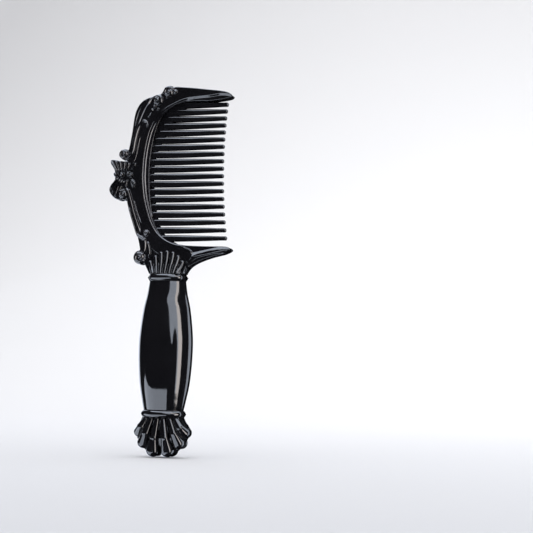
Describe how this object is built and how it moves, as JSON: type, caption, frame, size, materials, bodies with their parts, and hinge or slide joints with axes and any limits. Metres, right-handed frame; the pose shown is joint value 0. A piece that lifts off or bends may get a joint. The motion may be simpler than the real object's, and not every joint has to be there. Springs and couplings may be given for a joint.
{
  "type": "decorative hair comb",
  "caption": "Glossy black vintage-style hair comb with scrolled spine, bow crest, fluted neck and barrel handle.",
  "frame": {"origin": "middle of the lowest point of the scalloped foot, under the handle's axis", "axes": "+Z along the comb from the foot to the top scroll, +X the way the teeth point, -Y the front face"},
  "size_m": [0.078, 0.0258, 0.225],
  "materials": {
    "gloss_black": "high gloss",
    "dowel_black": "matte"
  },
  "bodies": {
    "root": {"comb_plate": "gloss_black", "front_head_cover": "gloss_black", "back_head_cover": "gloss_black", "front_bow": "gloss_black", "back_bow": "gloss_black", "front_neck_fan": "gloss_black", "back_neck_fan": "gloss_black", "front_upper_ring": "gloss_black", "back_upper_ring": "gloss_black", "front_handle_shell": "gloss_black", "back_handle_shell": "gloss_black", "front_lower_ring": "gloss_black", "back_lower_ring": "gloss_black", "front_foot_shell": "gloss_black", "back_foot_shell": "gloss_black", "head_dowels": "dowel_black", "handle_dowels": "dowel_black"}
  },
  "joints": []
}
